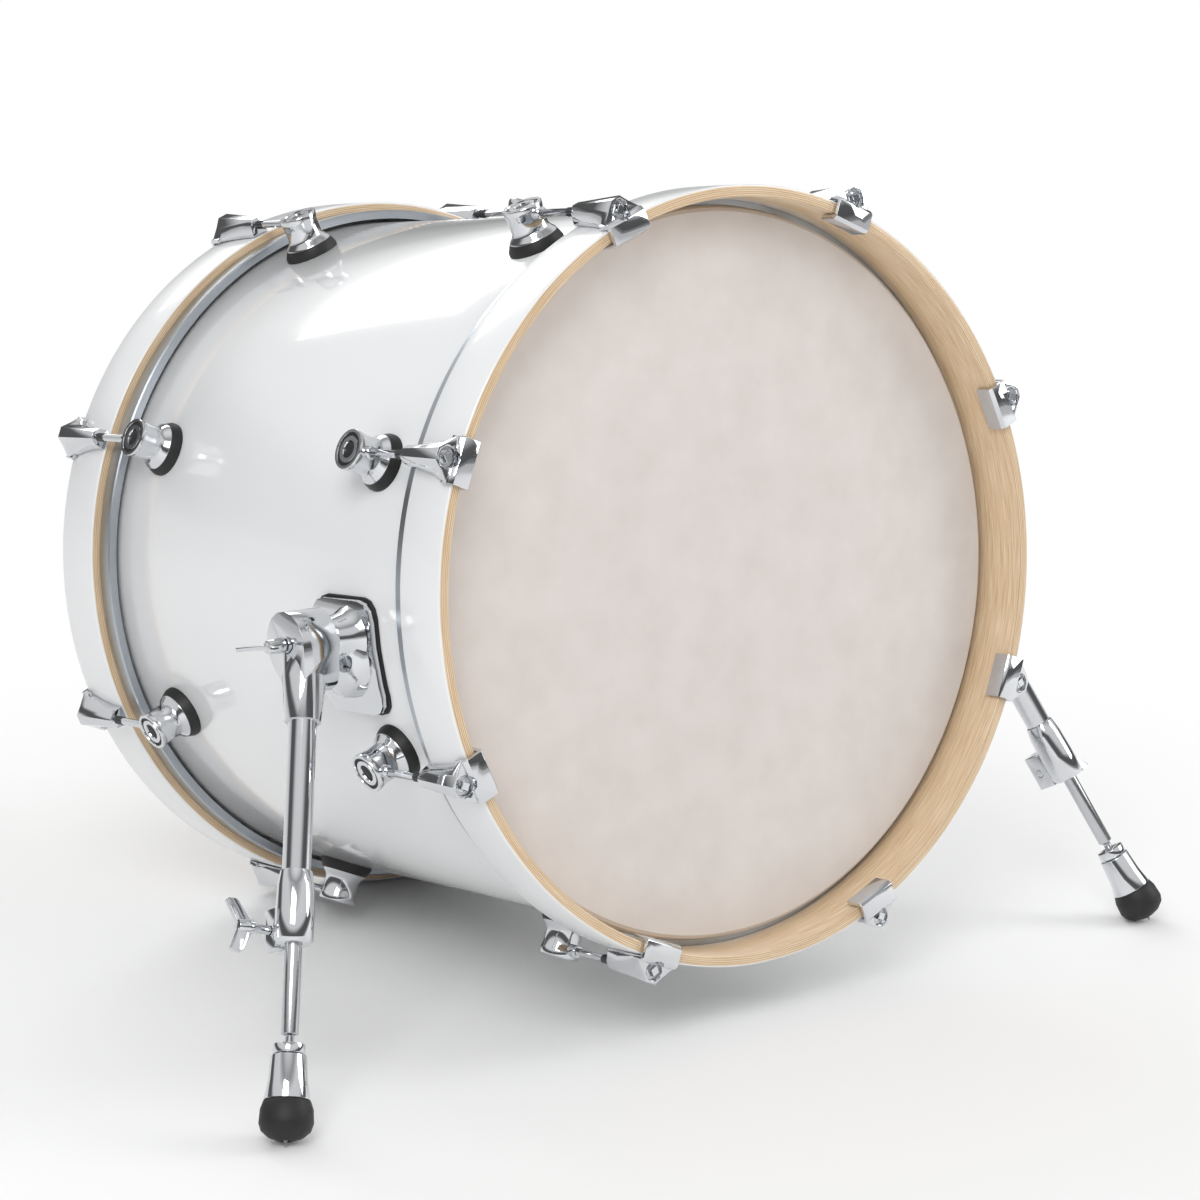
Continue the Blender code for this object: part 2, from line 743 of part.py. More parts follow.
def make_crossbar(drum, aluminium):
    """A channel across the shell, with a foot at each end that follows the shell's inside."""
    inside = (shell_radius - shell_wall) * (1 - facet_drop) - gap
    reach = shell_radius
    half = crossbar_depth / 2
    channel = box((-reach, crossbar_front, -half), (reach, crossbar_rear, half))
    channel = boolean(channel, shell_cylinder(inside - crossbar_wall), "INTERSECT")
    hollow_low = (-inside * 0.97, crossbar_front - crossbar_wall, -half + crossbar_wall)
    hollow_high = (inside * 0.97, crossbar_rear - crossbar_wall, half - crossbar_wall)
    channel = cut(channel, box(hollow_low, hollow_high))
    bar = channel
    for end in (-1, 1):
        outline = rounded_rectangle(crossbar_foot_width, crossbar_width, 0.006)
        foot = extruded(outline, inside * 0.9, shell_radius)
        turn = Matrix.Translation((0, lug_place, 0)) @ Matrix.Rotation(end * math.pi / 2, 4, "Y")
        foot = moved(foot, turn)
        foot = boolean(foot, shell_cylinder(inside), "INTERSECT")
        foot = cut(foot, shell_cylinder(inside - crossbar_wall - 0.001))
        bar = union(bar, foot)
    return place("trigger_crossbar", moved(bar, crossbar_turn), aluminium, drum)


def make_trigger(drum, steel, foam):
    """The round sensor plate on the crossbar, and the foam cone that touches the mesh head."""
    plate = rod_shape(sensor_plate_radius, sensor_front, sensor_front + sensor_plate_thickness, 32)
    place("sensor_plate", moved(plate, along_drum), steel, drum)
    profile = [
        (0, foam_front),
        (foam_base_radius, foam_front),
        (foam_base_radius, foam_front + 0.012),
        (foam_tip_radius, foam_rear),
        (0, foam_rear),
    ]
    place("trigger_foam_cone", moved(turned(profile, 28), along_drum), foam, drum)


def jack_matrix():
    """The jack's axis: straight out through the right side of the shell, in front of the crossbar."""
    return Matrix.Translation((shell_radius, lug_place - jack_setback, 0)) @ Matrix.Rotation(math.pi / 2, 4, "Y")


def make_jack(drum, steel):
    """A panel jack through the shell's wall, with its bush, outer nut and open bore."""
    wall_out = gap
    wall_in = -(shell_wall + jack_nut_radius * math.tan(math.pi / drum_steps) + gap)
    profile = [
        (jack_bore, wall_out + jack_nut_height),
        (jack_nut_radius * 0.8, wall_out + jack_nut_height),
        (jack_nut_radius, wall_out + jack_nut_height * 0.6),
        (jack_nut_radius, wall_out),
        (jack_radius, wall_out),
        (jack_radius, wall_in),
        (jack_nut_radius, wall_in),
        (jack_nut_radius, wall_in - jack_body_length),
        (jack_bore, wall_in - jack_body_length),
    ]
    return place("output_jack", moved(turned(profile, 12, ring=True), jack_matrix()), steel, drum)


def smooth_route(points, steps):
    """A smooth curve through every point given (Catmull-Rom)."""
    padded = [2 * points[0] - points[1], *points, 2 * points[-1] - points[-2]]
    route = []
    for before, here, after, beyond in zip(padded, padded[1:], padded[2:], padded[3:]):
        for i in range(steps):
            t = i / steps
            route.append(
                0.5
                * (
                    2 * here
                    + (after - before) * t
                    + (2 * before - 5 * here + 4 * after - beyond) * t**2
                    + (3 * here - before - 3 * after + beyond) * t**3
                )
            )
    return route + [points[-1]]


def make_lead(drum, rubber):
    """The sensor's lead: off the plate's rim, along the crossbar, and down to the jack's tail."""
    bar = crossbar_turn.to_3x3()
    front = crossbar_front - lead_radius - gap
    jack_y = lug_place - jack_setback
    tail = shell_radius - shell_wall - 2 * gap - jack_body_length
    above = crossbar_depth / 2 + lead_radius + 2 * gap
    route = [
        bar @ Vector((0.030, sensor_front - lead_radius - gap, above)),
        bar @ Vector((0.045, lug_place + 0.004, above)),
        bar @ Vector((0.075, lug_place - 0.004, above)),
        bar @ Vector((0.120, lug_place - 0.006, above)),
        bar @ Vector((0.160, front + 0.006, above + 0.0005)),
        bar @ Vector((0.180, front - 0.006, above - 0.006)),
        bar @ Vector((0.185, jack_y + 0.010, -0.020)),
        Vector((tail - 0.030, jack_y + 0.003, 0.006)),
        Vector((tail - 0.014, jack_y, 0)),
        Vector((tail - gap, jack_y, 0)),
    ]
    points = smooth_route(route, 3)
    curve = bpy.data.curves.new("sensor_lead", "CURVE")
    curve.dimensions = "3D"
    curve.bevel_depth = lead_radius
    curve.bevel_resolution = 2
    curve.use_fill_caps = True
    spline = curve.splines.new("POLY")
    spline.points.add(len(points) - 1)
    for slot, point in zip(spline.points, points):
        slot.co = (*point, 1)
    curve.materials.append(rubber)
    lead = bpy.data.objects.new("sensor_lead", curve)
    bpy.context.scene.collection.objects.link(lead)
    lead.parent = drum
    return lead


def centre_on_floor(drum):
    """Moves the drum so that it stands on z = 0 with its outer box centred on the origin."""
    bpy.context.view_layer.update()
    graph = bpy.context.evaluated_depsgraph_get()
    corners = []
    for piece in bpy.data.objects:
        if piece.type not in ("MESH", "CURVE"):
            continue
        shown = piece.evaluated_get(graph)
        mesh = shown.to_mesh()
        corners += [piece.matrix_world @ vertex.co for vertex in mesh.vertices]
        shown.to_mesh_clear()
    low_y = min(corner.y for corner in corners)
    high_y = max(corner.y for corner in corners)
    drum.location.y -= (low_y + high_y) / 2
    bpy.context.view_layer.update()


def main():
    clear_scene()
    lacquer = principled("white_lacquer", (0.86, 0.86, 0.86), 0.12, coat=0.6)
    maple = principled("maple_and_white", (0.80, 0.66, 0.50), 0.30)
    coated = principled("coated_film", (0.66, 0.63, 0.61), 0.65)
    mesh_film = principled("mesh_film", (0.82, 0.82, 0.80), 0.75)
    chrome = principled("chrome", (0.75, 0.75, 0.76), 0.06, metallic=1.0)
    steel = principled("bright_steel", (0.62, 0.62, 0.63), 0.18, metallic=1.0)
    aluminium = principled("aluminium", (0.70, 0.71, 0.72), 0.32, metallic=1.0)
    rubber = principled("black_rubber", (0.025, 0.025, 0.027), 0.55)
    foam = principled("grey_foam", (0.18, 0.18, 0.19), 0.95)

    stance = Matrix.Translation((0, 0, -floor_level)) @ Matrix.Rotation(-front_tilt, 4, "X")
    drum = empty("drum", matrix=stance)
    make_shell(drum, lacquer)
    make_hoop("front_hoop", drum, maple, -1)
    make_hoop("rear_hoop", drum, maple, 1)
    make_head("front_head", drum, coated, -1)
    make_head("rear_mesh_head", drum, mesh_film, 1)
    make_tuning_hardware(drum, chrome)
    for side, side_name in ((-1, "left"), (1, "right")):
        make_leg(side, side_name, drum, chrome, steel, rubber)
    make_crossbar(drum, aluminium)
    make_trigger(drum, steel, foam)
    make_jack(drum, steel)
    make_lead(drum, rubber)
    centre_on_floor(drum)


main()
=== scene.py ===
# %% [markdown]
# The drum is dressed here. Its frame, with every sub-part at its real place, is loaded first and
# never moved. The frame is made of flat facets, so what is turned on a lathe on the real drum is
# turned again with more steps. The drum is tipped up a little at the front, so a matrix says where
# its centre is and how it leans.

# %% The frame
import json
import math

import bpy
from mathutils import Matrix, Vector


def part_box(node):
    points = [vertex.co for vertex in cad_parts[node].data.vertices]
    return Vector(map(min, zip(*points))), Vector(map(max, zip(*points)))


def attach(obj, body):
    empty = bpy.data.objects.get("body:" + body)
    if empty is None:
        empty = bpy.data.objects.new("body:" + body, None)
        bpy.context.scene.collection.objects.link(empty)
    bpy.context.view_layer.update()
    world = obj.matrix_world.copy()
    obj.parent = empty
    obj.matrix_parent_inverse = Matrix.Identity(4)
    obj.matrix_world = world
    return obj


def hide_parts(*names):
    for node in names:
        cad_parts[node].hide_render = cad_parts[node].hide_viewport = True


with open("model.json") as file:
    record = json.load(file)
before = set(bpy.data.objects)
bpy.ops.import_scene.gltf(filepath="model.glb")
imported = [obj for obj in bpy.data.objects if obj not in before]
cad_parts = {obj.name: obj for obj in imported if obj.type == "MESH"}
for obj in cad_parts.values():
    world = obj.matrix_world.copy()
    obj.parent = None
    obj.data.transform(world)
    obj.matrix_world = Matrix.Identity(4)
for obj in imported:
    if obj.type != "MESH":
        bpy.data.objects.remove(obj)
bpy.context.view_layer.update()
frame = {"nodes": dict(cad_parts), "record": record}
bpy.context.scene.view_settings.view_transform = "Standard"

shell_low, shell_high = (Vector(corner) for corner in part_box("shell"))
drum_centre = (shell_low + shell_high) / 2
shell_radius = (shell_high.x - shell_low.x) / 2
hoop_low, hoop_high = (Vector(corner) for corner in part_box("front_hoop"))
hoop_radius = (hoop_high.x - hoop_low.x) / 2
tilt = math.radians(5.5)
drum_place = Matrix.Translation(drum_centre) @ Matrix.Rotation(-tilt, 4, "X")
print("shell radius", round(shell_radius, 4), "hoop radius", round(hoop_radius, 4))

# %% [markdown]
# The camera stands at the front left, a little above the drum, with a long lens, as in the
# photograph. It could be aimed by eye. Its place was matched to the hoops, lugs and claws instead, so
# that they line up. It is placed in the drum's own frame, where Y is the drum's axis, and then leans
# with it.

# %% The camera
camera_place = Vector((-1.4486, -1.8845, 0.2654))
azimuth = math.radians(-38.57)
elevation = math.radians(7.17)
camera_roll = math.radians(-2.67)
lens_mm = 95.85
sensor_mm = 36

level = math.cos(elevation)
forward = Vector((-math.sin(azimuth) * level, math.cos(azimuth) * level, -math.sin(elevation)))
level_right = Vector((math.cos(azimuth), math.sin(azimuth), 0))
level_up = level_right.cross(forward)
right = math.cos(camera_roll) * level_right + math.sin(camera_roll) * level_up
up = -math.sin(camera_roll) * level_right + math.cos(camera_roll) * level_up
camera_data = bpy.data.cameras.new("camera")
camera_data.lens = lens_mm
camera_data.sensor_width = sensor_mm
camera = bpy.data.objects.new("camera", camera_data)
bpy.context.scene.collection.objects.link(camera)
camera_turn = Matrix((right, up, -forward)).transposed().to_4x4()
camera.matrix_world = drum_place @ Matrix.Translation(camera_place) @ camera_turn
bpy.context.scene.camera = camera
print("camera at", camera.matrix_world.translation, "lens", lens_mm)


# %% [markdown]
# Every material starts from a Principled shader. Its nodes could be set up one by one in the shader
# editor. Here one function adds a node with its settings and its links, so that a finish reads as a
# short list. A Mix node for colours takes its factor in socket 0 and its colours in 6 and 7, and
# gives the mix from 2.


# %% Helpers for nodes
def linear(code):
    """A colour written as an sRGB hex code, as the linear values that a shader takes."""
    parts = [int(code[i : i + 2], 16) / 255 for i in (1, 3, 5)]
    return [p / 12.92 if p <= 0.04045 else ((p + 0.055) / 1.055) ** 2.4 for p in parts] + [1.0]


def add(material, kind, settings=None, inputs=None):
    """Adds one node, sets its properties, and fills its sockets with values or other nodes' outputs."""
    node = material.node_tree.nodes.new(kind)
    for key, value in (settings or {}).items():
        setattr(node, key, value)
    for key, value in (inputs or {}).items():
        if isinstance(value, bpy.types.NodeSocket):
            material.node_tree.links.new(value, node.inputs[key])
        else:
            node.inputs[key].default_value = value
    return node


def join(material, output, node, socket):
    """Links an output to one socket of a node that exists already."""
    material.node_tree.links.new(output, node.inputs[socket])


def start(name, color, roughness, metallic=0.0, coat=0.0, ior=1.5):
    """A new material with its plain values. A metal keeps the default IOR."""
    material = bpy.data.materials.new(name)
    material.use_nodes = True
    shader = material.node_tree.nodes["Principled BSDF"]
    shader.inputs["Base Color"].default_value = linear(color)
    shader.inputs["Roughness"].default_value = roughness
    shader.inputs["Metallic"].default_value = metallic
    shader.inputs["Coat Weight"].default_value = coat
    if not metallic:
        shader.inputs["IOR"].default_value = ior
    return material, shader


color_mix = {"data_type": "RGBA"}
mix_factor = 0
mix_first = 6
mix_second = 7
mix_result = 2


# %% [markdown]
# Some finishes change with the distance from the drum's axis, such as a hoop that is white only
# outside. Two materials on one piece could do that. A radius read from Object coordinates needs no
# edge in the mesh.


# %% Helpers for places on the drum
def drum_coordinates(material):
    """Object coordinates turned so that Y runs along the drum's axis, from its centre."""
    place = add(material, "ShaderNodeTexCoord").outputs["Object"]
    mapping = add(material, "ShaderNodeMapping", {"vector_type": "TEXTURE"}, {"Vector": place})
    mapping.inputs["Location"].default_value = drum_centre
    mapping.inputs["Rotation"].default_value = (-tilt, 0, 0)
    return mapping.outputs[0]


def drum_radius(material, coordinates):
    """The distance from the drum's axis, in metres."""
    across = (1, 0, 1)
    flat = add(material, "ShaderNodeVectorMath", {"operation": "MULTIPLY"}, {0: coordinates, 1: across})
    length = add(material, "ShaderNodeVectorMath", {"operation": "LENGTH"}, {0: flat.outputs[0]})
    return length.outputs["Value"]


def beyond(material, value, limit, softness=0.0002):
    """0 below the limit and 1 above it, with a soft step."""
    step = add(material, "ShaderNodeMapRange", None, {"Value": value})
    step.inputs["From Min"].default_value = limit - softness
    step.inputs["From Max"].default_value = limit + softness
    return step.outputs[0]


# %% [markdown]
# No surface is even all over. Moulded and coated ones have a fine grain, and handled ones have duller
# patches. A picture could hold both. Noise is used, with its scale worked out from the grain's real
# size in millimetres.


# %% Helpers for grain and gloss
bump_strength = 0.35


def fine_bump(material, shader, grain_mm, height_mm, coordinates=None):
    """A moulded or coated surface's fine grain, from noise of a real grain size."""
    if coordinates is None:
        coordinates = add(material, "ShaderNodeTexCoord").outputs["Object"]
    grain = {"Vector": coordinates, "Scale": 1000 / grain_mm, "Detail": 3.0}
    noise = add(material, "ShaderNodeTexNoise", None, grain)
    relief = {"Height": noise.outputs["Fac"], "Distance": height_mm / 1000}
    bump = add(material, "ShaderNodeBump", None, relief)
    bump.inputs["Strength"].default_value = bump_strength
    join(material, bump.outputs[0], shader, "Normal")


def vary_roughness(material, shader, low, high, patch_mm):
    """Handling leaves soft patches of slightly different gloss."""
    place = add(material, "ShaderNodeTexCoord").outputs["Object"]
    patches = {"Vector": place, "Scale": 1000 / patch_mm, "Detail": 4.0}
    noise = add(material, "ShaderNodeTexNoise", None, patches)
    spread = add(material, "ShaderNodeMapRange", None, {"Value": noise.outputs["Fac"]})
    spread.inputs["To Min"].default_value = low
    spread.inputs["To Max"].default_value = high
    join(material, spread.outputs[0], shader, "Roughness")


# %% [markdown]
# The shell is maple under thick white lacquer, polished until it mirrors. A low roughness gives the
# mirror, and a half-strength coat adds the clear top layer's second, sharper highlight.

# %% White lacquer
lacquer, shader = start("white_gloss_lacquer", "#F1F2F3", 0.12, coat=0.5)
vary_roughness(lacquer, shader, 0.10, 0.18, 60)
print("finish", lacquer.name)

# %% [markdown]
# A wood hoop is bent from maple plies. Its edge and inner wall are clear-coated wood, and its outside
# is white. The plies are layers, so the edge's lines follow the distance from the drum's axis: a sine
# of that distance. Real plies are about a millimetre thick. They are drawn at 1.4 mm, as coarse as
# they need to be to show.

# %% Plies on a hoop's edge
ply_mm = 1.4
glue_line_start = 0.75
hoop_wood, shader = start("lacquered_maple_ply", "#DCC5AE", 0.28, coat=0.4)
coordinates = drum_coordinates(hoop_wood)
radius = drum_radius(hoop_wood, coordinates)
phase_inputs = {0: radius, 1: 2000 * math.pi / ply_mm}
ply_phase = add(hoop_wood, "ShaderNodeMath", {"operation": "MULTIPLY"}, phase_inputs)
ply_wave = add(hoop_wood, "ShaderNodeMath", {"operation": "SINE"}, {0: ply_phase.outputs[0]})
glue_line = add(hoop_wood, "ShaderNodeMapRange", None, {"Value": ply_wave.outputs[0]})
glue_line.inputs["From Min"].default_value = glue_line_start
glue_line.inputs["From Max"].default_value = 1.0
print("plies", ply_mm, "mm")

# %% [markdown]
# Wood grain runs round the hoop, because the plies were bent that way. Noise read at the angle round
# the drum changes slowly that way, and the axis and the radius are stretched so that it changes fast
# across the grain.

# %% Grain round a hoop
axis_stretch = 90.0
radius_stretch = 300.0
split = add(hoop_wood, "ShaderNodeSeparateXYZ", None, {0: coordinates})
round_drum = {0: split.outputs[0], 1: split.outputs[2]}
angle = add(hoop_wood, "ShaderNodeMath", {"operation": "ARCTAN2"}, round_drum)
grain_place = add(hoop_wood, "ShaderNodeCombineXYZ", None, {0: angle.outputs[0]})
along_axis = {0: split.outputs[1], 1: axis_stretch}
grain_y = add(hoop_wood, "ShaderNodeMath", {"operation": "MULTIPLY"}, along_axis)
across_plies = {0: radius, 1: radius_stretch}
grain_z = add(hoop_wood, "ShaderNodeMath", {"operation": "MULTIPLY"}, across_plies)
join(hoop_wood, grain_y.outputs[0], grain_place, 1)
join(hoop_wood, grain_z.outputs[0], grain_place, 2)
grain_inputs = {"Vector": grain_place.outputs[0], "Scale": 9.0, "Detail": 6.0}
grain = add(hoop_wood, "ShaderNodeTexNoise", None, grain_inputs)
maple = add(hoop_wood, "ShaderNodeValToRGB", None, {"Fac": grain.outputs["Fac"]})
maple.color_ramp.elements[0].position = 0.3
maple.color_ramp.elements[0].color = linear("#CFAE86")
maple.color_ramp.elements[1].position = 0.7
maple.color_ramp.elements[1].color = linear("#EFDABB")

# %% Glue lines and the white band
band_depth = 0.0011
glue_inputs = {mix_factor: glue_line.outputs[0], mix_first: maple.outputs[0]}
glue = add(hoop_wood, "ShaderNodeMix", color_mix, glue_inputs)
glue.inputs[mix_second].default_value = linear("#93714F")
band = beyond(hoop_wood, radius, hoop_radius - band_depth)
band_inputs = {mix_factor: band, mix_first: glue.outputs[mix_result]}
whole = add(hoop_wood, "ShaderNodeMix", color_mix, band_inputs)
whole.inputs[mix_second].default_value = linear("#F2F3F4")
join(hoop_wood, whole.outputs[mix_result], shader, "Base Color")
print("finish", hoop_wood.name, "with", len(hoop_wood.node_tree.nodes), "nodes")

# %% [markdown]
# A drumhead is a skin bonded into a rolled aluminium ring, the flesh hoop. Both are one piece, so one
# material does both: past the shell's edge it turns to metal. The skin's two close colours are mixed
# by soft noise.


# %% A head's skin and its flesh hoop
skin_past_shell = 0.0028
flesh_line = shell_radius + skin_past_shell
flesh_roughness = 0.3


def head_material(name, light, dark, patch_mm, roughness):
    """Skin inside the flesh line and satin aluminium outside it."""
    material, shader = start(name, light, roughness)
    coordinates = drum_coordinates(material)
    metal = beyond(material, drum_radius(material, coordinates), flesh_line)
    mottle = {"Vector": coordinates, "Scale": 1000 / patch_mm, "Detail": 5.0}
    noise = add(material, "ShaderNodeTexNoise", None, mottle)
    skin = add(material, "ShaderNodeMix", color_mix, {mix_factor: noise.outputs["Fac"]})
    skin.inputs[mix_first].default_value = linear(light)
    skin.inputs[mix_second].default_value = linear(dark)
    color_inputs = {mix_factor: metal, mix_first: skin.outputs[mix_result]}
    color = add(material, "ShaderNodeMix", color_mix, color_inputs)
    color.inputs[mix_second].default_value = linear("#B4BAC0")
    join(material, color.outputs[mix_result], shader, "Base Color")
    join(material, metal, shader, "Metallic")
    gloss = add(material, "ShaderNodeMapRange", None, {"Value": metal})
    gloss.inputs["To Min"].default_value = roughness
    gloss.inputs["To Max"].default_value = flesh_roughness
    join(material, gloss.outputs[0], shader, "Roughness")
    return material, shader, coordinates


# %% [markdown]
# The front head is polyester film with a sprayed coating, dull and faintly mottled. The rear head,
# which is played, is taken to be a woven mesh. Its threads are drawn 1.2 mm apart, coarser than real,
# so that they show.

# %% Coated film and mesh
thread_mm = 1.2
coated, shader, coordinates = head_material("coated_polyester_film", "#E2DCD8", "#D0C8C3", 28, 0.6)
fine_bump(coated, shader, 0.9, 0.05, coordinates)
woven, shader, coordinates = head_material("woven_polyester_mesh", "#ECECEA", "#DCDCDA", 12, 0.75)
thread_inputs = {"Vector": coordinates, "Scale": 1000 / thread_mm}
thread = add(woven, "ShaderNodeTexChecker", None, thread_inputs)
weave_inputs = {"Height": thread.outputs["Fac"], "Distance": 0.0002, "Strength": 0.4}
weave = add(woven, "ShaderNodeBump", None, weave_inputs)
join(woven, weave.outputs[0], shader, "Normal")
print("finishes", coated.name, "and", woven.name)

# %% [markdown]
# The fittings are zinc castings and steel, polished and chrome plated: a pale metal with a very low roughness.
# Steel rods are drawn and so a little duller, and the rolled threads are given a dark grey metal colour.

# %% Metals
chrome_color = "#D9DBDE"
chrome_roughness = 0.06
chrome, shader = start("polished_chrome_plate", chrome_color, chrome_roughness, metallic=1.0)
vary_roughness(chrome, shader, 0.04, 0.10, 25)
steel, shader = start("bright_drawn_steel", "#C4C6C9", 0.18, metallic=1.0)
vary_roughness(steel, shader, 0.14, 0.26, 12)
dark_steel, shader = start("dark_grey_rolled_thread", "#5A5B5E", 0.3, metallic=1.0)
vary_roughness(dark_steel, shader, 0.25, 0.4, 4)
aluminium, shader = start("satin_aluminium", "#C9CCD0", 0.35, metallic=1.0)
vary_roughness(aluminium, shader, 0.3, 0.42, 15)
print("finishes", chrome.name, steel.name, dark_steel.name, aluminium.name)

# %% [markdown]
# Rubber is moulded, so it has a fine dull grain. The cone under the rear head is open-cell foam,
# duller still.

# %% Rubber and foam
rubber_color = "#1B1B1C"
# The same black also fills the lugs' groove and middle recess, as painted shade.
rubber, shader = start("moulded_black_rubber_and_recess_shade", rubber_color, 0.55)
fine_bump(rubber, shader, 0.6, 0.04)
foam, shader = start("open_cell_foam", "#4B4B4D", 0.95)
fine_bump(foam, shader, 1.5, 0.5)
print("finishes", rubber.name, foam.name)

# %% [markdown]
# Each lug stands on a black rubber gasket, which keeps the casting off the lacquer. In the frame both
# are one node, so one material is rubber near the shell and chrome above the gasket.

# %% Chrome on a rubber gasket
gasket_height = 0.0078
gasket_roughness = 0.5
lug_chrome, shader = start("chrome_lug_on_rubber", chrome_color, chrome_roughness)
lug_radius = drum_radius(lug_chrome, drum_coordinates(lug_chrome))
lug_metal = beyond(lug_chrome, lug_radius, shell_radius + gasket_height)
lug_color = add(lug_chrome, "ShaderNodeMix", color_mix, {mix_factor: lug_metal})
lug_color.inputs[mix_first].default_value = linear(rubber_color)
lug_color.inputs[mix_second].default_value = linear(chrome_color)
lug_gloss = add(lug_chrome, "ShaderNodeMapRange", None, {"Value": lug_metal})
lug_gloss.inputs["To Min"].default_value = gasket_roughness
lug_gloss.inputs["To Max"].default_value = chrome_roughness
join(lug_chrome, lug_color.outputs[mix_result], shader, "Base Color")
join(lug_chrome, lug_metal, shader, "Metallic")
join(lug_chrome, lug_gloss.outputs[0], shader, "Roughness")
print("finish", lug_chrome.name)

# %% [markdown]
# A turned piece starts as its half outline, drawn beside the axis, and is spun once round it, as on a
# lathe. The Screw modifier could do it too. Spin in edit mode leaves a plain mesh, whose doubled seam
# is merged here.


# %% Turning
seam_distance = 0.000005
turned_smooth_angle = math.radians(35)


def turned(name, outline, steps, place, ring=True):
    """Spins (radius, height) points round Z. A ring's outline closes on itself, a solid's ends on the axis."""
    count = len(outline)
    edges = [(i, i + 1) for i in range(count - 1)] + ([(count - 1, 0)] if ring else [])
    mesh = bpy.data.meshes.new(name)
    mesh.from_pydata([(r, 0, h) for r, h in outline], edges, [])
    piece = bpy.data.objects.new(name, mesh)
    bpy.context.scene.collection.objects.link(piece)
    bpy.ops.object.select_all(action="DESELECT")
    bpy.context.view_layer.objects.active = piece
    piece.select_set(True)
    bpy.ops.object.mode_set(mode="EDIT")
    bpy.ops.mesh.select_all(action="SELECT")
    bpy.ops.mesh.spin(steps=steps, angle=2 * math.pi, center=(0, 0, 0), axis=(0, 0, 1))
    bpy.ops.mesh.select_all(action="SELECT")
    bpy.ops.mesh.remove_doubles(threshold=seam_distance)
    bpy.ops.mesh.normals_make_consistent(inside=False)
    bpy.ops.object.mode_set(mode="OBJECT")
    mesh.transform(place)
    bpy.ops.object.shade_smooth_by_angle(angle=turned_smooth_angle)
    return piece


# %% [markdown]
# Each finished piece rides on one moving body, such as a leg, and stands for one or more pieces of the frame.
# What stands for none, such as a washer, is only added.


def dress(piece, material, body, *nodes, slot="chrome"):
    """Gives a piece its finish, the body that it rides on, and the frame pieces that it stands for."""
    piece.data.materials.clear()
    piece.data.materials.append(material)
    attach(piece, body)
    if nodes:
        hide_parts(*nodes)
    return piece


# %% [markdown]
# The shell is a tube whose ends are cut to a bearing edge: a slope inside, and a small flat that
# holds the head. Its outline is drawn in the drum's own frame, with the height along the axis, and
# then laid on its side.

# %% Shell
lay_along = Matrix(((1, 0, 0, 0), (0, 0, 1, 0), (0, -1, 0, 0), (0, 0, 0, 1)))
on_drum = drum_place @ lay_along
shell_depth = 0.412
half_depth = shell_depth / 2
wall = 0.0075
slope_depth = 0.005
flat_width = 0.002
edge = 0.0012
edge_round = edge * 0.3
drum_steps = 240

shell_outline = []
for end in (-1, 1):
    points = [
        (shell_radius - wall, end * (half_depth - slope_depth)),
        (shell_radius - edge - flat_width, end * half_depth),
        (shell_radius - edge, end * half_depth),
        (shell_radius - edge_round, end * (half_depth - edge_round)),
        (shell_radius, end * (half_depth - edge)),
    ]
    shell_outline += points if end < 0 else points[::-1]
shell = turned("lacquered_shell", shell_outline, drum_steps, on_drum)
dress(shell, lacquer, "drum_body", "shell")
print("shell turned with", len(shell.data.polygons), "faces")

# %% [markdown]
# A wood hoop laps over the shell's end and presses the head's metal ring down. Its corners are sanded
# round, and a round corner catches a thin highlight. A Bevel modifier could round them, but they are
# simply part of the outline.


# %% Wood hoops
hoop_width = 0.0435
hoop_thickness = 0.0085
hoop_lap = 0.0082
seat = half_depth - hoop_lap
face = seat + hoop_width
hoop_inner = hoop_radius - hoop_thickness
ease = 0.0015


def eased_corner(radius, height, r_sign, h_sign):
    """Four points round a corner whose centre lies inside it."""
    centre = (radius - r_sign * ease, height - h_sign * ease)
    turns = [math.radians(a) for a in (0, 30, 60, 90)]
    return [
        (centre[0] + r_sign * ease * math.cos(a), centre[1] + h_sign * ease * math.sin(a))
        for a in turns
    ]


for side_name, end in (("front", -1), ("rear", 1)):
    outline = eased_corner(hoop_radius, end * face, 1, end)
    outline += eased_corner(hoop_inner, end * face, -1, end)[::-1]
    outline += [(hoop_inner, end * seat)]
    outline += eased_corner(hoop_radius, end * seat, 1, -end)[::-1]
    hoop = turned(f"{side_name}_wood_hoop", outline, drum_steps, on_drum)
    dress(hoop, hoop_wood, "drum_body", f"{side_name}_hoop")
print("hoops turned, each", round(hoop_width * 1000, 1), "mm wide")

# %% [markdown]
# A head's skin lies flat on the bearing edge, bends down outside it as a collar, and ends in the
# flesh hoop. Skin and ring are one solid of revolution, so one outline from axis to axis makes both,
# with the skin's upper side first and its lower side last.

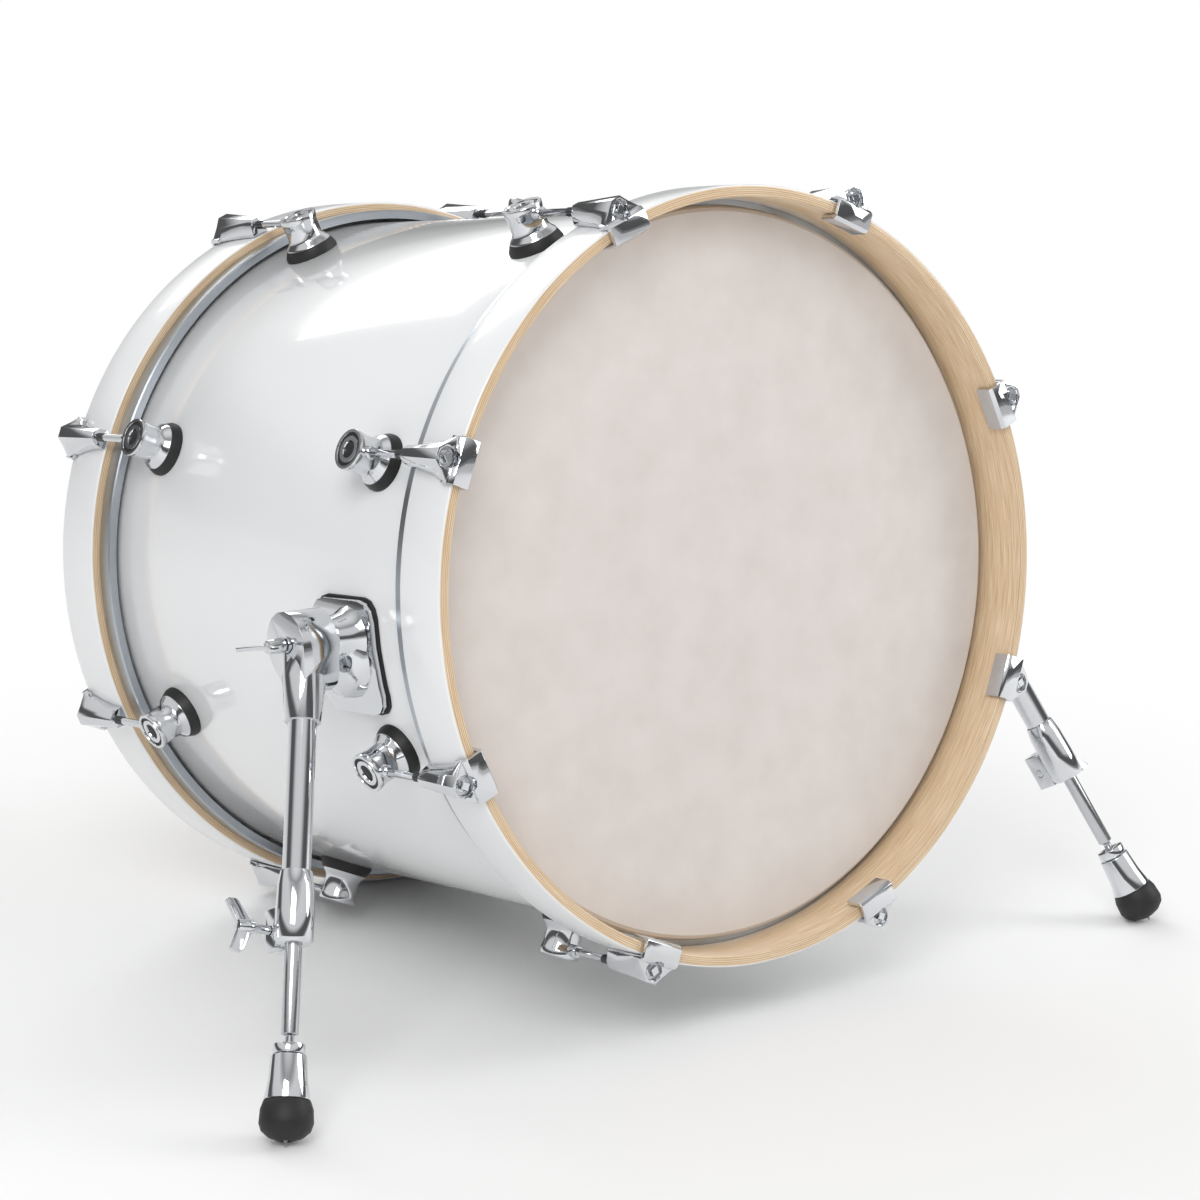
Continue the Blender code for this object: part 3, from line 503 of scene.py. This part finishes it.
# %% Heads
film_ring = 0.12
film_top = half_depth + 0.0008
film_under = half_depth + 0.0003
collar_height = half_depth - 0.0009
collar_outer = shell_radius + 0.0011
collar_inner = shell_radius + 0.0006
flesh_top = half_depth - 0.0085
flesh_foot = flesh_top - 0.014
flesh_inner = shell_radius + 0.003
flesh_outer = flesh_inner + 0.0066
flesh_round = 0.001
bond = 0.0005
for side_name, end, skin, node in (
    ("front", -1, coated, "front_head"),
    ("rear", 1, woven, "rear_mesh_head"),
):
    outline = [
        (0, end * film_top),
        (film_ring, end * film_top),
        (shell_radius - edge, end * film_top),
        (collar_outer, end * collar_height),
        (flesh_inner + bond, end * flesh_top),
        (flesh_outer - flesh_round, end * flesh_top),
        (flesh_outer, end * (flesh_top - flesh_round)),
        (flesh_outer, end * (flesh_foot + flesh_round)),
        (flesh_outer - flesh_round, end * flesh_foot),
        (flesh_inner, end * flesh_foot),
        (flesh_inner, end * (flesh_top - bond)),
        (collar_inner, end * collar_height),
        (shell_radius - edge, end * film_under),
        (film_ring, end * film_under),
        (0, end * film_under),
    ]
    head = turned(f"{side_name}_skin", outline, drum_steps, on_drum, ring=False)
    dress(head, skin, "drum_body", node)
print("heads turned, flesh hoops", round(flesh_outer * 2000), "mm across")

# %% [markdown]
# A lug is a turned tube post that stands on the shell. From its foot up it has the gasket, a waist, a
# flared end with a rim, a groove and a raised ring. A boss across its top holds the nut that the
# tension rod screws into. The outlines are drawn from the foot to the middle of the end, in metres
# from the shell's surface.

# %% A lug's outlines
lug_outline = [
    (0, -0.001),
    (0.020, -0.001),
    (0.020, 0.0016),
    (0.0172, gasket_height),
    (0.0169, 0.0084),
    (0.0142, 0.0112),
    (0.0133, 0.0135),
    (0.0132, 0.0225),
    (0.0139, 0.0258),
    (0.0142, 0.0298),
    (0.0138, 0.0305),
    (0.0118, 0.0305),
    (0.0113, 0.0288),
    (0.0098, 0.0288),
    (0.0093, 0.0301),
    (0.0062, 0.0301),
    (0.0056, 0.0285),
    (0, 0.0285),
]
nut_outline = [(0, -0.0200), (0.0038, -0.0200), (0.0045, -0.0192), (0.0045, -0.0060), (0, -0.0060)]
# The ring and the plug below are painted shade: black pieces in the end's groove and middle recess.
groove_shade_ring_outline = [(0.0097, 0.0289), (0.0114, 0.0289), (0.0114, 0.0297), (0.0097, 0.0297)]
recess_shade_plug_outline = [(0, 0.0286), (0.0055, 0.0286), (0.0055, 0.0291), (0.0050, 0.0293), (0, 0.0293)]
print("a lug stands", max(height for _, height in lug_outline) * 1000, "mm high")

# %% [markdown]
# Eight lugs stand round each end of the shell. Each is turned at the top of the drum's circle and
# then swung round the axis to its place. The rear ones are also turned about, so that their nuts face
# their own hoop.

# %% Lugs round the shell
lug_count = 8
first_lug_degrees = 22.5
lug_step_degrees = 45
lug_inset = 0.0675
lug_place = half_depth - lug_inset
rod_standoff = 0.008
rod_height = hoop_radius + rod_standoff - shell_radius
turn_to_rear = Matrix.Rotation(math.pi, 4, "Z")
post_steps = 40
nut_steps = 24
around = [
    Matrix.Rotation(math.radians(first_lug_degrees + lug_step_degrees * k), 4, "Y")
    for k in range(lug_count)
]
for side_name, end in (("front", -1), ("rear", 1)):
    facing = Matrix() if end < 0 else turn_to_rear
    for k in range(lug_count):
        foot = Matrix.Translation((0, end * lug_place, shell_radius))
        place = drum_place @ around[k] @ foot @ facing
        post = turned(f"{side_name}_lug_post_{k + 1}", lug_outline, post_steps, place, ring=False)
        dress(post, lug_chrome, "drum_body", f"{side_name}_lug_{k + 1}")
        nut_place = place @ Matrix.Translation((0, 0, rod_height)) @ lay_along
        nut = turned(f"{side_name}_lug_nut_{k + 1}", nut_outline, nut_steps, nut_place, ring=False)
        dress(nut, chrome, "drum_body")
        # The black ring in the groove and the black plug in the middle recess are painted shade, which darkens
        # the lug end's recesses.
        ring = turned(f"{side_name}_lug_groove_shade_ring_{k + 1}", groove_shade_ring_outline, post_steps, place)
        dress(ring, rubber, "drum_body", slot="rubber")
        plug = turned(f"{side_name}_lug_recess_shade_plug_{k + 1}", recess_shade_plug_outline, nut_steps, place, ring=False)
        dress(plug, rubber, "drum_body", slot="rubber")
print("lugs turned:", 2 * lug_count)


# %% [markdown]
# Claws, brackets, clamps and legs are castings and bent parts, and the frame already has their real
# form. They could be modelled again. Instead a copy is merged into one skin, its edges are eased by a
# Bevel modifier, and it is shaded smooth. The lead is round all along, so it has no edges to ease.


# %% Finishing a copy of a frame piece
loose_distance = 0.00001
flat_angle = math.radians(0.5)
hard_angle = math.radians(40)
fitting_smooth_angle = math.radians(38)
edge_width = 0.0004


def polished(node, material, body, width):
    """A finished copy of a frame piece, with its hard edges eased."""
    piece = bpy.data.objects.new(f"{node}_finished", frame["nodes"][node].data.copy())
    bpy.context.scene.collection.objects.link(piece)
    bpy.ops.object.select_all(action="DESELECT")
    bpy.context.view_layer.objects.active = piece
    piece.select_set(True)
    bpy.ops.object.mode_set(mode="EDIT")
    bpy.ops.mesh.select_all(action="SELECT")
    bpy.ops.mesh.remove_doubles(threshold=loose_distance)
    bpy.ops.mesh.dissolve_limited(angle_limit=flat_angle)
    bpy.ops.object.mode_set(mode="OBJECT")
    if width:
        bevel = piece.modifiers.new("eased_edges", "BEVEL")
        bevel.width = width
        bevel.segments = 2
        bevel.limit_method = "ANGLE"
        bevel.angle_limit = hard_angle
        bevel.use_clamp_overlap = True
        bpy.ops.object.modifier_apply(modifier="eased_edges")
    bpy.ops.object.shade_smooth_by_angle(angle=fitting_smooth_angle)
    return dress(piece, material, body, node)


# %% Claws, legs and the parts inside
body_of = {node: body for body, nodes in frame["record"]["behaviour"]["bodies"].items() for node in nodes}
finish_of = {"chrome": chrome, "steel": steel, "rubber": rubber, "aluminium": aluminium, "foam": foam}
turned_nodes = ("shell", "front_hoop", "rear_hoop", "front_head", "rear_mesh_head")
finished = 0
for entry in frame["record"]["subparts"]:
    node = entry["node"]
    if "lug" in node or node in turned_nodes:
        continue
    width = 0.0 if node == "sensor_lead" else edge_width
    polished(node, finish_of[entry["material_slot"]], body_of[node], width)
    finished += 1
print("fittings finished:", finished)

# %% [markdown]
# In each claw's recess the tension rod's square key head sits on a washer, and behind the claw its
# thread shows. The square head is the same turning with four steps. A real thread is a helix. At this
# size stacked rings look the same, need no pitch to match at the ends, and stay closed.

# %% Outlines of a rod's head, washer and thread
head_outline = [(0, -0.0016), (0.0034, -0.0016), (0.0040, -0.0008), (0.0040, 0.0030), (0, 0.0030)]
washer_outline = [(0.0030, 0.0030), (0.0068, 0.0030), (0.0068, 0.0042), (0.0030, 0.0042)]
thread_start = 0.0445
thread_pitch = 0.0011
thread_crests = 9
thread_bore = 0.0026
thread_root = 0.0029
thread_top = 0.0032
thread_outline = [(thread_bore, thread_start)]
for crest in range(thread_crests):
    thread_outline += [(thread_root, thread_start + crest * thread_pitch)]
    thread_outline += [(thread_top, thread_start + (crest + 0.5) * thread_pitch)]
thread_outline += [(thread_bore, thread_start + thread_crests * thread_pitch)]
print("thread", round(thread_crests * thread_pitch * 1000, 1), "mm long")

# %% Heads, washers and threads at every claw
square_steps = 4
washer_steps = 28
thread_steps = 20
for side_name, end in (("front", -1), ("rear", 1)):
    facing = Matrix() if end < 0 else turn_to_rear
    for k in range(lug_count):
        at_face = Matrix.Translation((0, end * face, hoop_radius))
        above_hoop = Matrix.Translation((0, 0, rod_standoff))
        place = drum_place @ around[k] @ at_face @ facing @ above_hoop @ lay_along
        key = turned(f"{side_name}_key_head_{k + 1}", head_outline, square_steps, place, ring=False)
        dress(key, chrome, "drum_body")
        washer = turned(f"{side_name}_washer_{k + 1}", washer_outline, washer_steps, place)
        dress(washer, steel, "drum_body", slot="steel")
        threads = turned(f"{side_name}_rod_threads_{k + 1}", thread_outline, thread_steps, place)
        dress(threads, dark_steel, "drum_body", slot="steel")
print("rods dressed:", 2 * lug_count)

# %% [markdown]
# The drum stands on a pale floor that keeps its shadow. A photographer's paper sweep curves up behind
# an object, so that no horizon shows. A flat plane does the same here: away from the drum it fades to
# plain white, which only the camera sees, because Light Path tells its rays from those that light the
# drum.

# %% Floor
floor_size = 120
floor_drop = 0.0005
fade_start = 0.35
fade_end = 1.1
bpy.ops.object.select_all(action="DESELECT")
bpy.ops.mesh.primitive_plane_add(size=floor_size, location=(0, 0, -floor_drop))
floor = bpy.context.active_object
floor.name = "studio_floor"
floor_material, shader = start("pale_floor", "#F7F7F7", 0.7)
floor_place = add(floor_material, "ShaderNodeTexCoord").outputs["Object"]
reach = add(floor_material, "ShaderNodeVectorMath", {"operation": "LENGTH"}, {0: floor_place})
soft_step = {"interpolation_type": "SMOOTHSTEP"}
fade = add(floor_material, "ShaderNodeMapRange", soft_step, {"Value": reach.outputs["Value"]})
fade.inputs["From Min"].default_value = fade_start
fade.inputs["From Max"].default_value = fade_end
seen = add(floor_material, "ShaderNodeLightPath").outputs["Is Camera Ray"]
fade_inputs = {0: fade.outputs[0], 1: seen}
fade_seen = add(floor_material, "ShaderNodeMath", {"operation": "MULTIPLY"}, fade_inputs)
white = add(floor_material, "ShaderNodeEmission", None, {"Color": (1, 1, 1, 1), "Strength": 1.0})
blend_inputs = {0: fade_seen.outputs[0], 1: shader.outputs[0], 2: white.outputs[0]}
blend = add(floor_material, "ShaderNodeMixShader", None, blend_inputs)
surface = floor_material.node_tree.nodes["Material Output"]
join(floor_material, blend.outputs[0], surface, "Surface")
floor.data.materials.append(floor_material)
print("floor fades between", fade_start, "and", fade_end, "m from the drum")

# %% [markdown]
# Chrome has no colour of its own: it shows what is around it. The world is a ramp by height, from
# below to above, with dark bands beside pale ones, which gives the chrome its contrast. The camera
# sees plain white.

# %% World
world = bpy.data.worlds.new("studio")
bpy.context.scene.world = world
world.use_nodes = True
background = world.node_tree.nodes["Background"]
direction = add(world, "ShaderNodeTexCoord").outputs["Generated"]
height = add(world, "ShaderNodeSeparateXYZ", None, {0: direction})
half_height = add(world, "ShaderNodeMapRange", None, {"Value": height.outputs[2], "From Min": -1.0})
studio = add(world, "ShaderNodeValToRGB", None, {0: half_height.outputs[0]})
bands = (
    (0.0, 0.45),
    (0.50, 0.30),
    (0.54, 0.10),
    (0.62, 0.12),
    (0.68, 0.75),
    (0.84, 0.80),
    (0.92, 0.35),
    (1.0, 0.9),
)
ramp = studio.color_ramp.elements
ramp.remove(ramp[1])
for position, strength in bands:
    stop = ramp.new(position) if position else ramp[0]
    stop.color = (strength, strength, strength, 1)
camera_ray = add(world, "ShaderNodeLightPath").outputs["Is Camera Ray"]
shown_inputs = {mix_factor: camera_ray, mix_first: studio.outputs[0]}
shown = add(world, "ShaderNodeMix", color_mix, shown_inputs)
shown.inputs[mix_second].default_value = (1, 1, 1, 1)
join(world, shown.outputs[mix_result], background, "Color")
print("world with", len(ramp), "bands")

# %% [markdown]
# Three soft boxes light the drum: a key from the front left, a fill from the right, and one behind
# that parts the white shell from the white background. Large lamps give soft shadow edges and long,
# clean highlights.


# %% Soft boxes
drum_middle = (0, 0, 0.3)


def soft_box(name, place, size, power):
    """A rectangular lamp that faces the drum's middle."""
    data = bpy.data.lights.new(name, "AREA")
    data.shape = "RECTANGLE"
    data.size, data.size_y = size
    data.energy = power
    lamp = bpy.data.objects.new(name, data)
    bpy.context.scene.collection.objects.link(lamp)
    lamp.location = place
    lamp.rotation_euler = (Vector(drum_middle) - Vector(place)).to_track_quat("-Z", "Y").to_euler()
    print(name, power, "W")


soft_box("key_light", (-2.2, -2.0, 2.4), (1.6, 1.6), 46)
soft_box("fill_light", (2.4, -1.6, 1.6), (1.4, 1.8), 26)
soft_box("back_light", (0.6, 2.6, 2.4), (2.0, 1.2), 26)
